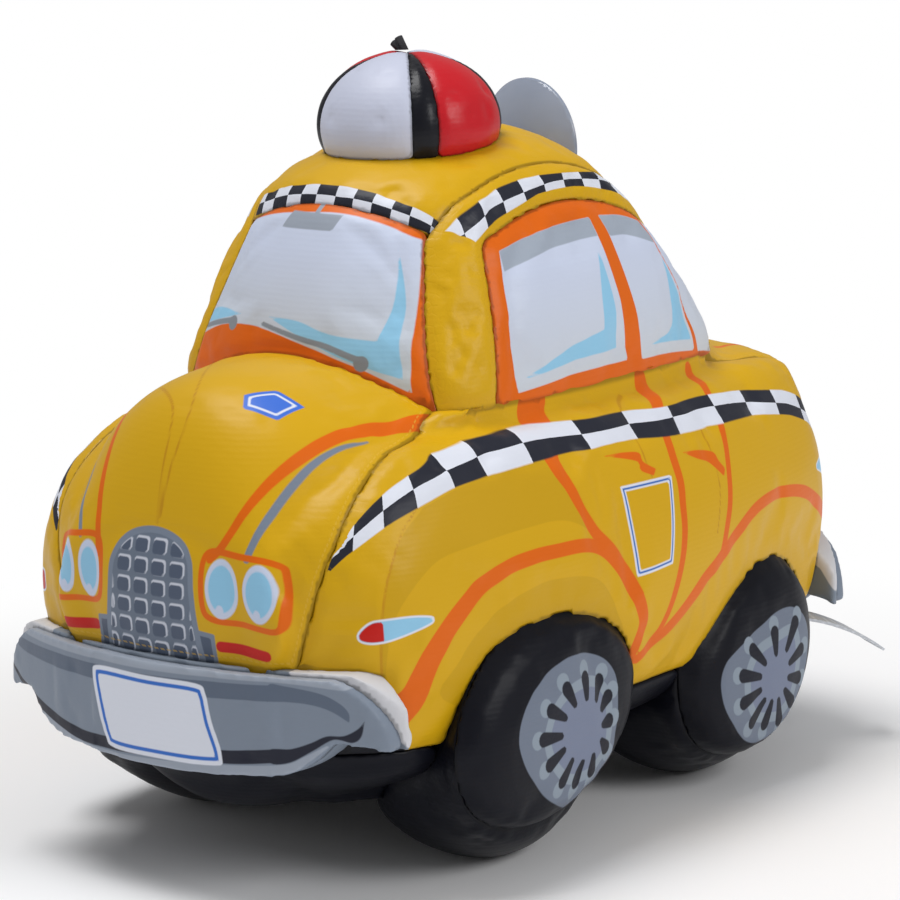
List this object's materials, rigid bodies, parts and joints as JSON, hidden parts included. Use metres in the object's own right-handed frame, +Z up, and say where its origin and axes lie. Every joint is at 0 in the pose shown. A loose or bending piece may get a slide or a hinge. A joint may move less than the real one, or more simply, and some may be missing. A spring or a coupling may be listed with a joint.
{
  "type": "plush toy taxi",
  "caption": "Stuffed toy taxi of printed vinyl with a roof lamp and a suction cup behind the roof; a soft display toy with fixed wheels.",
  "frame": {"origin": "on the ground under the middle of the body", "axes": "+Z up, the front of the car faces -Y, its left side faces +X"},
  "size_m": [0.1807, 0.296, 0.25],
  "materials": {
    "yellow_vinyl": "smooth printed vinyl, satin",
    "black_vinyl": "smooth vinyl, satin",
    "glass_print": "smooth printed vinyl, satin",
    "wheel_print": "smooth printed vinyl, satin",
    "bumper_grey": "smooth printed vinyl, satin",
    "white_vinyl": "smooth vinyl, satin",
    "red_vinyl": "smooth vinyl, satin",
    "cord": "braided cord, matt",
    "cup_vinyl": "translucent soft plastic, glossy",
    "label_fabric": "thin woven label, matt"
  },
  "bodies": {
    "root": {"hood_panel": "yellow_vinyl", "trunk_panel": "yellow_vinyl", "windscreen_panel": "glass_print", "rear_window_panel": "glass_print", "roof_panel": "yellow_vinyl", "belly_panel": "black_vinyl", "side_panel_left": "yellow_vinyl", "side_panel_right": "yellow_vinyl", "window_panel_left": "glass_print", "window_panel_right": "glass_print", "cabin_side_left": "yellow_vinyl", "cabin_side_right": "yellow_vinyl", "front_left_tread": "black_vinyl", "front_right_tread": "black_vinyl", "front_left_wheel_face": "wheel_print", "front_right_wheel_face": "wheel_print", "rear_left_tread": "black_vinyl", "rear_right_tread": "black_vinyl", "rear_left_wheel_face": "wheel_print", "rear_right_wheel_face": "wheel_print", "front_bumper_face": "bumper_grey", "front_bumper_back": "white_vinyl", "rear_bumper_face": "bumper_grey", "rear_bumper_back": "white_vinyl", "lamp_white_front": "white_vinyl", "lamp_white_rear": "white_vinyl", "lamp_red_left": "red_vinyl", "lamp_red_right": "red_vinyl", "lamp_black_front_left": "black_vinyl", "lamp_black_rear_left": "black_vinyl", "lamp_black_front_right": "black_vinyl", "lamp_black_rear_right": "black_vinyl", "hang_cord": "cord", "suction_cup": "cup_vinyl", "cup_tab": "black_vinyl", "care_label": "label_fabric"}
  },
  "joints": []
}
